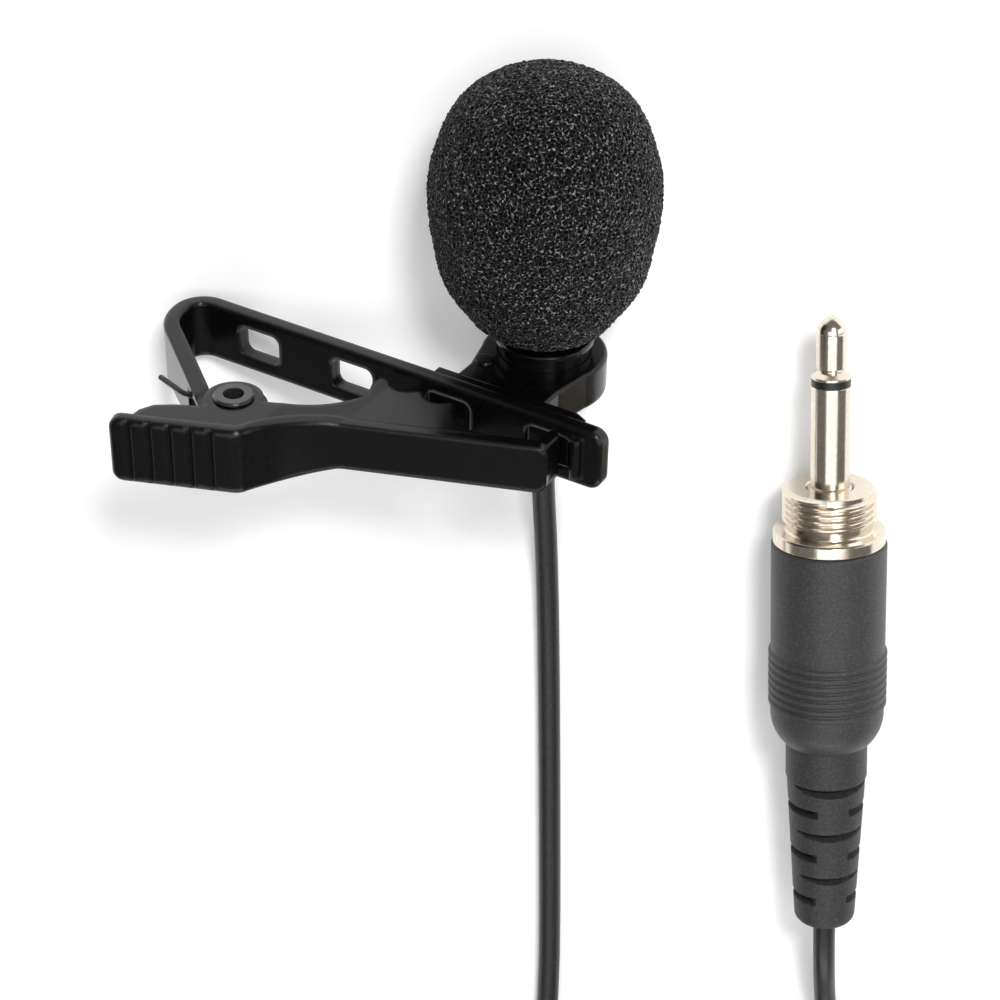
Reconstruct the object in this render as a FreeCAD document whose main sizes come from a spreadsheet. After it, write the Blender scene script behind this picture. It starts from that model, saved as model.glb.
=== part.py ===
import FreeCAD, Part
import math
import operator
import os

import Sketcher
from FreeCAD import Placement, Rotation, Vector

# A lavalier microphone lying on a table: foam windscreen, tie clip, cord and screw-locking plug.
# +Z is up, the table is z = 0, and the plug points along +Y. Lengths are in millimetres.
DRIVING = {
    # foam windscreen, heights along the microphone's own axis
    "foamRadius": 9.9, "foamTop": 28.0, "foamBottom": 4.2, "foamWaist": 17.07, "foamTopSide": 11.8,
    "foamSeat": 0.08135, "foamHeel": 3.5, "foamBoreDepth": 10.2, "foamClearance": 0.1,
    # microphone housing
    "bodyRadius": 4.05, "bodyBottom": -3.2, "rimRadius": 4.35, "rimBottom": 2.95, "rimTop": 3.5,
    "headRadius": 3.3, "headLength": 8.2, "housingWall": 0.3, "floorThickness": 0.6, "edgeBreak": 0.15,
    "grilleLength": 2.4, "grilleHole": 0.42, "grilleCircle": 1.9, "grilleThickness": 0.35,
    "capsuleRadius": 2.9, "capsuleHeight": 2.7, "clothThickness": 0.25, "boardThickness": 0.5,
    "boardGap": 0.6, "carrierWall": 0.15, "bushingTop": 2.35, "bushingTail": 1.6, "bushingEnd": -8.0,
    "bushingPlug": 1.7, "leadStop": -1.2,
    # clip, drawn about the pivot of its jaw
    "armInside": 11.18, "stripThickness": 1.45, "armTip": 29.1, "armHalf": 2.76, "foldRadius": 1.4,
    "bowRadius": 3.95, "legAngle": 38.5, "kneeHalf": 2.05, "kneeAlong": 3.4, "knuckleHalf": 1.85,
    "coilRoomHalf": 1.38, "notchRadius": 5.25, "armEdge": 0.3, "tipCorner": 1.2,
    "slotStart": -5.7, "slotPitch": 9.9, "slotLength": 4.4, "slotHeight": 3.0, "slotCorner": 0.8,
    "ribAlong": 26.4, "ribWidth": 0.9, "ribHeight": 0.75, "ribHalf": 1.9,
    "rivetRadius": 1.35, "rivetBore": 0.9, "flangeRadius": 1.75, "flangeThickness": 0.3, "pinClearance": 0.05,
    "earHalf": 2.6, "earRadius": 2.5, "channelHalf": 1.95, "noseChannelHalf": 1.25, "webThickness": 1.15,
    "padHalf": 3.1, "frontHalf": 2.2, "frontWallHalf": 1.95, "padEnd": -6.25, "padDrop": 9.0,
    "heelAlong": 4.03, "heelDrop": 4.97, "waistAlong": 9.33, "waistRise": 1.78, "waistRadius": 15.0,
    "jawTip": 25.85, "jawTipRise": 7.9, "heelRound": 1.6, "waistRound": 4.0, "beadRound": 0.5,
    "padCorner": 1.0, "wallLead": 1.4, "wallRise": 4.4, "toothStart": 8.63, "toothPitch": 3.35,
    "toothFlat": 0.6, "toothDip": 1.5, "toothGap": 1.05, "throatRadius": 9.6, "throatLip": 1.3,
    "throatDrop": 3.0, "noseWall": 1.45, "noseClearance": 0.12, "noseCorner": 0.6,
    "grooveStart": 1.7, "groovePitch": 1.75, "grooveHalf": 0.3, "grooveDepth": 0.35,
    "wireRadius": 0.25, "springRadius": 1.85, "springPitch": 0.96, "hookAlong": 3.8, "hookEnd": 7.5,
    "hookLift": 1.4, "hookBend": 0.8, "springHeelAlong": 3.25, "springHeelDrop": 2.6,
    "springTailAlong": 1.6, "springTailDrop": 4.1,
    # holder
    "axisAlong": 17.13, "axisAway": 22.11, "ringRadius": 5.54, "ringHalf": 1.8, "holderClearance": 0.05,
    "neckLeft": 4.25, "neckRight": 4.6, "neckWaist": 5.4, "footLeft": 5.5, "footRight": 9.3,
    "footThickness": 1.1, "footHalf": 2.4, "neckFlare": 1.2, "bossAlong": 3.3, "bossAway": 4.5,
    "bossRadius": 0.85, "bossHeight": 0.2, "tenonLength": 3.9, "tenonHeight": 2.7, "holderEdge": 0.35,
    # plug, heights along its own axis above the front face of the barrel
    "pinRadius": 1.75, "tipRadius": 1.33, "tipEnd": 21.1, "tipShoulder": 19.5, "tipGroove": 16.15,
    "tipFoot": 15.4, "insulatorFoot": 14.7, "rodRadius": 0.6, "linerRadius": 1.1, "rodEnd": -9.0,
    "threadRadius": 4.25, "threadStart": 1.75, "threadEnd": 5.25, "flangeHeight": 1.25, "undercut": 3.85,
    "rootRadius": 2.0, "rootEnd": 5.15, "flangeBack": 1.0, "noseRadius": 5.05, "barrelRadius": 5.2,
    "barrelLength": 19.5, "barrelWall": 0.9, "ringsStart": 10.5, "ringsPitch": 0.78, "ringsRise": 0.2,
    "chinRise": 2.85, "chinRadius": 4.1, "chinTail": 4.05, "chinThickness": 1.6, "coreRadius": 3.8,
    "coreFront": -1.4, "coreStep": -4.9, "coreHollow": 2.5, "spacerLength": 1.3, "neckRadius": 3.76,
    "bootClearance": 0.08, "bootHeadRadius": 4.15, "bootHead": -14.0, "bootNeck": 3.6, "bootShoulder": 3.66,
    "bootTail": 2.86, "bootEnd": -38.55, "bootRound": 1.0, "bootSlot": 0.8, "cutFloor": 1.45,
    "cutLead": 0.16, "cutSlope": 1.0, "bootPitch": 4.7, "topCutStart": 0.25, "sideCutStart": 2.45,
    "bootTurn": 8.0, "leadSeat": -26.0,
    # cord, coil and tie
    "cordRadius": 1.05, "boreClearance": 0.05, "coilRadius": 16.4, "coilPitch": 2.58, "layerTurns": 3.375,
    "coilAlong": 16.5, "coilBack": -80.0, "tieThickness": 0.6, "tieWidth": 5.0, "tieGap": 0.15,
    # how the pieces lie on the table
    "micRaise": 14.0, "micYaw": -3.44, "clipRoll": 29.0, "micAlong": 4.32, "micAcross": 12.77,
    "micHeight": 6.07, "plugAlong": 29.47, "plugFace": -4.4, "plugHeight": 5.4, "layAlong": 8.117,
    "layAcross": -22.389,
}
COIL_LAYERS = 4
TEETH = 3
GROOVES = 5
BARREL_RINGS = 7
BOOT_CUTS = 3
COIL_SIDES = 8
WIRE_SIDES = 6
OPERATIONS = {"+": operator.add, "-": operator.sub, "*": operator.mul, "/": operator.truediv}


class Size:
    # a number together with the sheet expression that gives it

    def __init__(self, value, text):
        self.value = value
        self.text = text

    def __add__(self, other):
        return joined(self, "+", other)

    def __radd__(self, other):
        return joined(other, "+", self)

    def __sub__(self, other):
        return joined(self, "-", other)

    def __rsub__(self, other):
        return joined(other, "-", self)

    def __mul__(self, other):
        return joined(self, "*", other)

    def __rmul__(self, other):
        return joined(other, "*", self)

    def __truediv__(self, other):
        return joined(self, "/", other)

    def __neg__(self):
        return joined(0, "-", self)


def sized(number):
    return number if isinstance(number, Size) else Size(float(number), repr(float(number)))


def joined(first, sign, second):
    first, second = sized(first), sized(second)
    return Size(OPERATIONS[sign](first.value, second.value), f"({first.text} {sign} {second.text})")


def sine(angle):
    return Size(math.sin(math.radians(angle.value)), f"sin({angle.text})")


def cosine(angle):
    return Size(math.cos(math.radians(angle.value)), f"cos({angle.text})")


def root(number):
    return Size(math.sqrt(number.value), f"sqrt({number.text})")


doc = FreeCAD.newDocument("Lavalier")
sheet = doc.addObject("Spreadsheet::Sheet", "Dims")
for row, (alias, number) in enumerate(DRIVING.items(), start=1):
    sheet.set(f"A{row}", str(number))
    sheet.setAlias(f"A{row}", alias)
doc.recompute()


class Sizes:
    # reads a driving dimension by its alias

    def __getattr__(self, alias):
        return Size(float(sheet.get(alias)), f"Dims.{alias}")


d = Sizes()


def bind(thing, name, size):
    thing.setExpression(name, sized(size).text)


def new_body(name):
    body = doc.addObject("PartDesign::Body", name)
    body.Label = name
    return body


def arc_between(start, end, radius, turn):
    # the short arc, bending to the left for turn 1 and to the right for turn -1
    half = (end - start) * 0.5
    rise = math.sqrt(max(radius * radius - half.Length ** 2, 0.0))
    centre = (start + end) * 0.5 + Vector(-half.y, half.x, 0).normalize() * (rise * turn)
    pair = (start, end) if turn > 0 else (end, start)
    angles = [math.atan2((p - centre).y, (p - centre).x) for p in pair]
    return Part.ArcOfCircle(Part.Circle(centre, Vector(0, 0, 1), radius), *angles)


def fix_point(sketch, index, place, x, y):
    for kind, size in (("DistanceX", sized(x)), ("DistanceY", sized(y))):
        number = sketch.addConstraint(Sketcher.Constraint(kind, index, place, size.value))
        sketch.setExpression(f"Constraints[{number}]", size.text)


def fix_radius(sketch, index, radius):
    number = sketch.addConstraint(Sketcher.Constraint("Radius", index, sized(radius).value))
    sketch.setExpression(f"Constraints[{number}]", sized(radius).text)


def add_loop(sketch, corners):
    # a closed outline; a corner is (x, y), or (x, y, radius, turn) where an arc runs to the next one
    first = sketch.GeometryCount
    points = [Vector(sized(c[0]).value, sized(c[1]).value, 0) for c in corners]
    starts = []
    for corner, here, there in zip(corners, points, points[1:] + points[:1]):
        if len(corner) == 2:
            sketch.addGeometry(Part.LineSegment(here, there), False)
            starts.append(1)
        else:
            sketch.addGeometry(arc_between(here, there, sized(corner[2]).value, corner[3]), False)
            starts.append(1 if corner[3] > 0 else 2)
    for i, corner in enumerate(corners):
        before = (i - 1) % len(corners)
        ends = (first + before, 3 - starts[before], first + i, starts[i])
        sketch.addConstraint(Sketcher.Constraint("Coincident", *ends))
        fix_point(sketch, first + i, starts[i], corner[0], corner[1])
        if len(corner) > 2:
            fix_radius(sketch, first + i, corner[2])


def add_circle(sketch, x, y, radius):
    centre = Vector(sized(x).value, sized(y).value, 0)
    index = sketch.addGeometry(Part.Circle(centre, Vector(0, 0, 1), sized(radius).value), False)
    fix_point(sketch, index, 3, x, y)
    fix_radius(sketch, index, radius)


def new_sketch(body, name, role="XY_Plane", level=0):
    sketch = body.newObject("Sketcher::SketchObject", name)
    plane = next(f for f in body.Origin.OriginFeatures if f.Role == role)
    sketch.AttachmentSupport = (plane, "")
    sketch.MapMode = "FlatFace"
    bind(sketch, "AttachmentOffset.Base.z", level)
    return sketch


def loop_sketch(body, name, corners, role="XY_Plane", level=0):
    sketch = new_sketch(body, name, role, level)
    add_loop(sketch, corners)
    return sketch


def circle_sketch(body, name, radius, x=0, y=0):
    sketch = new_sketch(body, name)
    add_circle(sketch, x, y, radius)
    return sketch


def revolve(name, corners):
    # a piece turned about its own Z axis from an outline of (radius, height) corners
    body = new_body(name)
    sketch = loop_sketch(body, name + "Profile", corners, "XZ_Plane")
    turned = body.newObject("PartDesign::Revolution", name + "Turned")
    turned.Profile = sketch
    turned.ReferenceAxis = (sketch, ["V_Axis"])
    turned.Angle = 360
    body.Tip = turned
    return body


def pad(body, name, sketch, half):
    # adds an outline, evenly about the plane of its sketch
    grown = body.newObject("PartDesign::Pad", name)
    grown.Profile = sketch
    grown.SideType = "Symmetric"
    bind(grown, "Length", 2 * sized(half))
    body.Tip = grown
    return grown


def pocket(body, name, sketch, half=None):
    # cuts an outline evenly about its plane, all the way through unless a half depth is given
    cut = body.newObject("PartDesign::Pocket", name)
    cut.Profile = sketch
    cut.Type = "ThroughAll" if half is None else "Length"
    cut.SideType = "Symmetric"
    if half is not None:
        bind(cut, "Length", 2 * sized(half))
    body.Tip = cut
    return cut


def rounded(body, name, size, chosen):
    base = body.Tip
    doc.recompute()
    edges = [f"Edge{i}" for i, edge in enumerate(base.Shape.Edges, start=1) if chosen(edge)]
    if not edges:
        raise RuntimeError(f"{name} found no edge")
    feature = body.newObject("PartDesign::Fillet", name)
    feature.Base = (base, edges)
    bind(feature, "Radius", size)
    body.Tip = feature
    return feature


def near(value, target, slack=0.02):
    return abs(value - sized(target).value) < slack


def middle(edge):
    return edge.valueAt((edge.FirstParameter + edge.LastParameter) / 2)


def upright_at(edge, x, y):
    box = edge.BoundBox
    return (box.XLength < 0.02 and box.YLength < 0.02 and near(box.XMin, x, 0.05)
            and near(box.YMin, y, 0.05))


def offset_line(points, distance):
    # an open line of straight runs, moved to its left
    normals = []
    for (x0, y0), (x1, y1) in zip(points, points[1:]):
        run, rise = sized(x1) - x0, sized(y1) - y0
        length = root(run * run + rise * rise)
        normals.append((-(rise / length), run / length))
    moved = []
    for i, (x, y) in enumerate(points):
        before, after = normals[max(i - 1, 0)], normals[min(i, len(normals) - 1)]
        share = 1 + before[0] * after[0] + before[1] * after[1]
        moved.append((x + distance * (before[0] + after[0]) / share,
                      y + distance * (before[1] + after[1]) / share))
    return moved


def make_windscreen():
    # an egg of three arcs with a rounded heel, cut flat, and a blind bore for the head
    inset_top = d.foamTopSide - d.foamRadius
    lead = d.foamTopSide - (d.foamTop - d.foamWaist)
    crown_rise = (inset_top * inset_top - lead * lead) / (2 * lead)
    crown = d.foamTop - d.foamWaist - crown_rise
    reach = root(inset_top * inset_top + crown_rise * crown_rise)
    join_radius = d.foamTopSide * inset_top / reach - inset_top
    join_height = d.foamWaist + d.foamTopSide * crown_rise / reach
    bore = d.headRadius + d.foamClearance
    heel_radius = bore + d.foamSeat
    drop = d.foamWaist - d.foamBottom - d.foamHeel
    swell = d.foamRadius - heel_radius
    low_side = (drop * drop + swell * swell - d.foamHeel * d.foamHeel) / (2 * (swell - d.foamHeel))
    low_span = low_side - d.foamHeel
    low_radius = d.foamRadius - low_side + (low_side - swell) * low_side / low_span
    low_height = d.foamWaist - drop * low_side / low_span
    bore_top = d.foamBottom + d.foamBoreDepth
    return revolve("foam_windscreen", [
        (bore, d.foamBottom), (heel_radius, d.foamBottom, d.foamHeel, 1),
        (low_radius, low_height, low_side, 1), (d.foamRadius, d.foamWaist, d.foamTopSide, 1),
        (join_radius, join_height, crown, 1), (0, d.foamTop), (0, bore_top), (bore, bore_top),
    ])


def make_housing():
    inner = d.headRadius - d.housingWall
    floor = d.bodyBottom + d.floorThickness
    chamfer = 3 * d.edgeBreak
    return revolve("mic_housing", [
        (d.bushingPlug, d.bodyBottom), (d.bodyRadius - chamfer, d.bodyBottom),
        (d.bodyRadius, d.bodyBottom + chamfer), (d.bodyRadius, d.rimBottom), (d.rimRadius, d.rimBottom),
        (d.rimRadius, d.rimTop - d.edgeBreak), (d.rimRadius - d.edgeBreak, d.rimTop),
        (d.headRadius + d.edgeBreak, d.rimTop), (d.headRadius, d.rimTop + d.edgeBreak),
        (d.headRadius, d.rimTop + d.headLength), (inner, d.rimTop + d.headLength), (inner, floor),
        (d.bushingPlug, floor),
    ])


def make_grille():
    # a cap on the head's end with a ring of holes round a middle one
    low = d.rimTop + d.headLength
    top = low + d.grilleLength
    inner = d.headRadius - d.housingWall
    body = revolve("grille_cap", [
        (inner, low), (d.headRadius, low), (d.headRadius, top - 2 * d.edgeBreak),
        (d.headRadius - 2 * d.edgeBreak, top), (0, top), (0, top - d.grilleThickness),
        (inner, top - d.grilleThickness),
    ])
    holes = new_sketch(body, "grilleHoles", "XY_Plane", top)
    add_circle(holes, 0, 0, d.grilleHole)
    for i in range(6):
        turn = sized(60 * i)
        add_circle(holes, d.grilleCircle * cosine(turn), d.grilleCircle * sine(turn), d.grilleHole)
    pocket(body, "grilleDrilled", holes, 2 * d.grilleThickness)
    return body


def make_capsule_stack():
    # dust cloth, capsule and its board, and the potted carrier that they sit in
    cloth_top = d.rimTop + d.headLength + d.grilleLength - d.grilleThickness
    cloth_low = cloth_top - d.clothThickness
    capsule_low = cloth_low - d.capsuleHeight
    board_top = capsule_low - d.boardGap
    board_low = board_top - d.boardThickness
    inner = d.headRadius - d.housingWall
    cup = inner - d.carrierWall
    cloth = revolve("acoustic_cloth", [
        (0, cloth_low), (inner, cloth_low), (inner, cloth_top), (0, cloth_top),
    ])
    rim = d.capsuleRadius - d.edgeBreak
    capsule = revolve("electret_capsule", [
        (0, capsule_low), (d.capsuleRadius, capsule_low), (d.capsuleRadius, cloth_low), (rim, cloth_low),
        (rim, cloth_low - d.edgeBreak), (0, cloth_low - d.edgeBreak),
    ])
    board = revolve("capsule_board", [(0, board_low), (cup, board_low), (cup, board_top), (0, board_top)])
    legs = new_sketch(board, "boardPins", "XY_Plane", board_top)
    for side in (-1, 1):
        add_circle(legs, side * (d.capsuleRadius / 2), 0, d.grilleHole)
    pins = board.newObject("PartDesign::Pad", "boardLegs")
    pins.Profile = legs
    bind(pins, "Length", d.boardGap)
    board.Tip = pins
    carrier = revolve("potted_carrier", [
        (0, d.leadStop), (inner, d.leadStop), (inner, capsule_low), (cup, capsule_low), (cup, board_low),
        (0, board_low),
    ])
    return [cloth, capsule, board, carrier]


def make_bushing():
    # a rubber relief: a collar plugged through the housing's floor, and a taper with three ribs
    inner = d.cordRadius + d.boreClearance
    floor = d.bodyBottom + d.floorThickness
    groove = (d.bushingTail - inner) / 2
    span = d.bodyBottom - d.bushingEnd
    corners = [(inner, d.bushingEnd), (d.bushingTail, d.bushingEnd)]
    for i in range(1, 4):
        width = d.bushingTail + (d.bushingTop - d.bushingTail) * (i / 4)
        low = d.bushingEnd + span * (i / 4 - 0.06)
        high = d.bushingEnd + span * (i / 4 + 0.06)
        corners += [(width, low), (width - groove, low), (width - groove, high), (width, high)]
    corners += [
        (d.bushingTop, d.bodyBottom), (d.bushingPlug, d.bodyBottom), (d.bushingPlug, floor),
        (d.bushingTop, floor), (d.bushingTop, floor + d.floorThickness), (inner, floor + d.floorThickness),
    ]
    return revolve("tail_bushing", corners)


def make_arm():
    # a strip folded back on itself; its short leg ends in two eyes round the rivet
    inside = d.rivetRadius + d.pinClearance
    low = d.armInside - d.foldRadius
    up, across = sine(d.legAngle), cosine(d.legAngle)
    bow = (d.bowRadius - inside - low * across) / up
    fold = bow + d.foldRadius - d.bowRadius
    outer_fold = d.foldRadius + d.stripThickness
    outer_bow = d.bowRadius + d.stripThickness
    eye = inside + d.stripThickness
    outside = d.armInside + d.stripThickness
    body = new_body("front_arm")
    pad(body, "armStrip", loop_sketch(body, "armSide", [
        (d.armTip, d.armInside), (d.armTip, outside), (fold, outside, outer_fold, 1),
        (fold - outer_fold, low, outer_bow, 1), (bow - outer_bow * up, low - outer_bow * across),
        (-(eye * up), -(eye * across)), (-(inside * up), -(inside * across)),
        (bow - d.bowRadius * up, low - d.bowRadius * across, d.bowRadius, -1),
        (fold - d.foldRadius, low, d.foldRadius, -1), (fold, d.armInside),
    ]), d.armHalf)
    rounded(body, "tipRounded", d.tipCorner, lambda e: near(middle(e).x, d.armTip)
            and near(abs(middle(e).z), d.armHalf) and near(e.Length, d.stripThickness))
    rounded(body, "armEdges", d.armEdge, lambda e: near(abs(middle(e).z), d.armHalf)
            and near(e.BoundBox.ZLength, 0) and middle(e).y > low.value and e.Length > 10)
    # the leg narrows towards the eyes
    for side in (-1, 1):
        taper = loop_sketch(body, f"legTaper{side + 1}", [
            (fold - d.foldRadius, side * d.armHalf), (-d.kneeAlong, side * d.kneeHalf),
            (-(1.05 * eye), side * d.knuckleHalf), (2 * eye, side * d.knuckleHalf),
            (2 * eye, side * (2 * d.armHalf)), (fold - d.foldRadius, side * (2 * d.armHalf)),
        ], "XZ_Plane", -low)
        cut = body.newObject("PartDesign::Pocket", f"legTapered{side + 1}")
        cut.Profile = taper
        cut.Reversed = True
        bind(cut, "Length", 2 * d.armInside)
        body.Tip = cut
    pad(body, "armKnuckle", circle_sketch(body, "armEyes", eye), d.knuckleHalf)
    pocket(body, "springRoom", circle_sketch(body, "springRoomSide", d.notchRadius), d.coilRoomHalf)
    pocket(body, "rivetBore", circle_sketch(body, "rivetBoreSide", inside))
    half_long, half_high, corner = d.slotLength / 2, d.slotHeight / 2, d.slotCorner
    slots = new_sketch(body, "slotOutlines", "XZ_Plane", -(d.armInside + d.stripThickness / 2))
    for i in range(4):
        x = d.slotStart + i * d.slotPitch
        add_loop(slots, [
            (x - half_long + corner, -half_high), (x + half_long - corner, -half_high, corner, 1),
            (x + half_long, corner - half_high), (x + half_long, half_high - corner, corner, 1),
            (x + half_long - corner, half_high), (x - half_long + corner, half_high, corner, 1),
            (x - half_long, half_high - corner), (x - half_long, corner - half_high, corner, 1),
        ])
    pocket(body, "armSlots", slots, d.stripThickness)
    rib_low = d.armInside - d.ribHeight
    bevel = d.ribWidth / 4
    pad(body, "stopRib", loop_sketch(body, "stopRibSide", [
        (d.ribAlong, outside - bevel), (d.ribAlong, rib_low + bevel), (d.ribAlong + bevel, rib_low),
        (d.ribAlong + d.ribWidth - bevel, rib_low), (d.ribAlong + d.ribWidth, rib_low + bevel),
        (d.ribAlong + d.ribWidth, outside - bevel),
    ]), d.ribHalf)
    return body


def make_jaw():
    # a channel with a thumb pad, ears on the rivet, and a toothed front that closes on the arm
    body = new_body("rear_jaw")
    web = [(d.padEnd, -d.padDrop), (d.heelAlong, -d.heelDrop), (d.waistAlong, d.waistRise),
           (d.jawTip, d.jawTipRise)]
    seam = offset_line(web, d.webThickness / 2)
    lining = offset_line(web, d.webThickness)
    slope = (d.jawTipRise - d.waistRise) / (d.jawTip - d.waistAlong)
    peak = d.armInside - d.toothGap
    last = d.toothStart + (TEETH - 1) * d.toothPitch
    half = d.toothFlat / 2
    throat = d.toothStart - d.toothFlat
    runout = last + 1.8 * d.toothPitch
    base = d.waistRise + (runout - d.waistAlong) * slope
    low = base + 0.9 * d.webThickness
    walls = [seam[0], seam[1] + (d.waistRadius, -1), seam[2], (runout, base + d.webThickness / 2),
             (runout, low), (last + 0.95 * d.toothPitch, low, 2.6 * d.toothDip, -1)]
    for i in range(TEETH - 1, 0, -1):
        x = d.toothStart + i * d.toothPitch
        walls += [(x + half, peak), (x - half, peak, d.toothDip, -1)]
    walls += [
        (d.toothStart + half, peak), (throat, peak), (throat, peak - d.throatLip),
        (d.toothStart, peak - d.throatDrop, d.throatRadius, -1), (0.9 * d.earRadius, 0.3 * d.earRadius),
        (-(0.5 * d.earRadius), -(0.8 * d.earRadius)), (-(0.6 * d.earRadius), -(1.05 * d.earRadius)),
        (-(1.4 * d.earRadius), -(1.45 * d.earRadius)), (d.padEnd + d.wallLead, d.wallRise - d.padDrop),
        (d.padEnd + 0.6 * d.wallLead, 0.73 * d.wallRise - d.padDrop),
        (d.padEnd + 0.6 * d.wallLead, d.webThickness - d.padDrop),
    ]
    pad(body, "jawWalls", loop_sketch(body, "jawWallSide", walls), d.earHalf)
    pad(body, "jawEars", circle_sketch(body, "jawEarSide", d.earRadius), d.earHalf)
    far = d.jawTip + d.padHalf
    for side in (-1, 1):
        pocket(body, f"wallNarrowed{side + 1}", loop_sketch(body, f"wallPlan{side + 1}", [
            (d.heelAlong, side * d.earHalf), (d.waistAlong, side * d.frontWallHalf),
            (far, side * d.frontWallHalf), (far, side * (2 * d.padHalf)), (d.heelAlong, side * (2 * d.padHalf)),
        ], "XZ_Plane"))
    back = d.padEnd - d.padHalf
    pocket(body, "jawChannel", loop_sketch(body, "channelPlan", [
        (back, -d.channelHalf), (d.heelAlong, -d.channelHalf), (d.waistAlong, -d.noseChannelHalf),
        (far, -d.noseChannelHalf), (far, d.noseChannelHalf), (d.waistAlong, d.noseChannelHalf),
        (d.heelAlong, d.channelHalf), (back, d.channelHalf),
    ], "XZ_Plane"))
    pad(body, "jawWeb", loop_sketch(body, "jawWebSide", [
        web[0], web[1] + (d.waistRadius, -1), web[2], web[3], lining[3],
        lining[2] + (d.waistRadius + d.webThickness, 1), lining[1], lining[0],
    ]), d.padHalf)
    heel, waist = web[1], web[2]
    rounded(body, "heelRounded", d.heelRound, lambda e: upright_at(e, heel[0], heel[1]))
    rounded(body, "waistRounded", d.waistRound, lambda e: upright_at(e, waist[0], waist[1]))
    for side in (-1, 1):
        pocket(body, f"webNarrowed{side + 1}", loop_sketch(body, f"webPlan{side + 1}", [
            (d.heelAlong, side * d.padHalf), (d.waistAlong, side * d.frontHalf), (far, side * d.frontHalf),
            (far, side * (2 * d.padHalf)), (d.heelAlong, side * (2 * d.padHalf)),
        ], "XZ_Plane"))
    rounded(body, "webCorners", d.padCorner, lambda e: near(e.Length, d.webThickness, 0.05)
            and ((near(abs(middle(e).z), d.frontHalf) and middle(e).x > d.jawTip.value - 1)
                 or (near(abs(middle(e).z), d.padHalf) and middle(e).x < d.padEnd.value + 0.1)))
    pad_line = Part.makeLine(*[Vector(x.value, y.value, 0) for x, y in web[:2]])

    def on_pad_rim(edge):
        spot = middle(edge)
        beside = pad_line.distToShape(Part.Vertex(Vector(spot.x, spot.y, 0)))[0]
        return near(abs(spot.z), d.padHalf) and edge.Length > 5 and beside < 0.1

    rounded(body, "padBeads", d.beadRound, on_pad_rim)
    tall = d.armInside - d.noseClearance
    start = d.jawTip - d.noseWall
    foot = d.waistRise + (start - d.waistAlong) * slope + d.webThickness / 2
    end = d.jawTip - d.webThickness / 3
    pad(body, "jawNose", loop_sketch(body, "jawNoseSide", [
        (start, foot), (end, foot + slope * d.noseWall), (end, tall - d.noseCorner),
        (end - d.noseCorner, tall), (start + d.noseCorner / 2, tall), (start, tall - d.noseCorner / 2),
    ]), d.frontWallHalf)
    pocket(body, "earBore", circle_sketch(body, "earBoreSide", d.rivetRadius + d.pinClearance))
    # thumb grooves square to the pad
    run, rise = d.heelAlong - d.padEnd, d.padDrop - d.heelDrop
    length = root(run * run + rise * rise)
    ux, uy = run / length, rise / length
    cuts = new_sketch(body, "thumbGrooveSides")
    for i in range(GROOVES):
        along = d.grooveStart + i * d.groovePitch
        x, y = d.padEnd + along * ux, along * uy - d.padDrop
        add_loop(cuts, [
            (x - d.grooveHalf * ux + d.grooveDepth * uy, y - d.grooveHalf * uy - d.grooveDepth * ux),
            (x + d.grooveHalf * ux + d.grooveDepth * uy, y + d.grooveHalf * uy - d.grooveDepth * ux),
            (x + d.grooveHalf * ux, y + d.grooveHalf * uy), (x - d.grooveDepth * uy, y + d.grooveDepth * ux),
            (x - d.grooveHalf * ux, y - d.grooveHalf * uy),
        ])
    pocket(body, "thumbGrooves", cuts)
    return body


def make_rivet():
    inner = d.rivetBore
    seat = d.earHalf + d.pinClearance
    top = seat + d.flangeThickness
    corner = d.flangeThickness / 2
    return revolve("pivot_rivet", [
        (inner, -top), (d.flangeRadius - corner, -top), (d.flangeRadius, corner - top), (d.flangeRadius, -seat),
        (d.rivetRadius, -seat), (d.rivetRadius, seat), (d.flangeRadius, seat), (d.flangeRadius, top - corner),
        (d.flangeRadius - corner, top), (inner, top),
    ])


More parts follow.
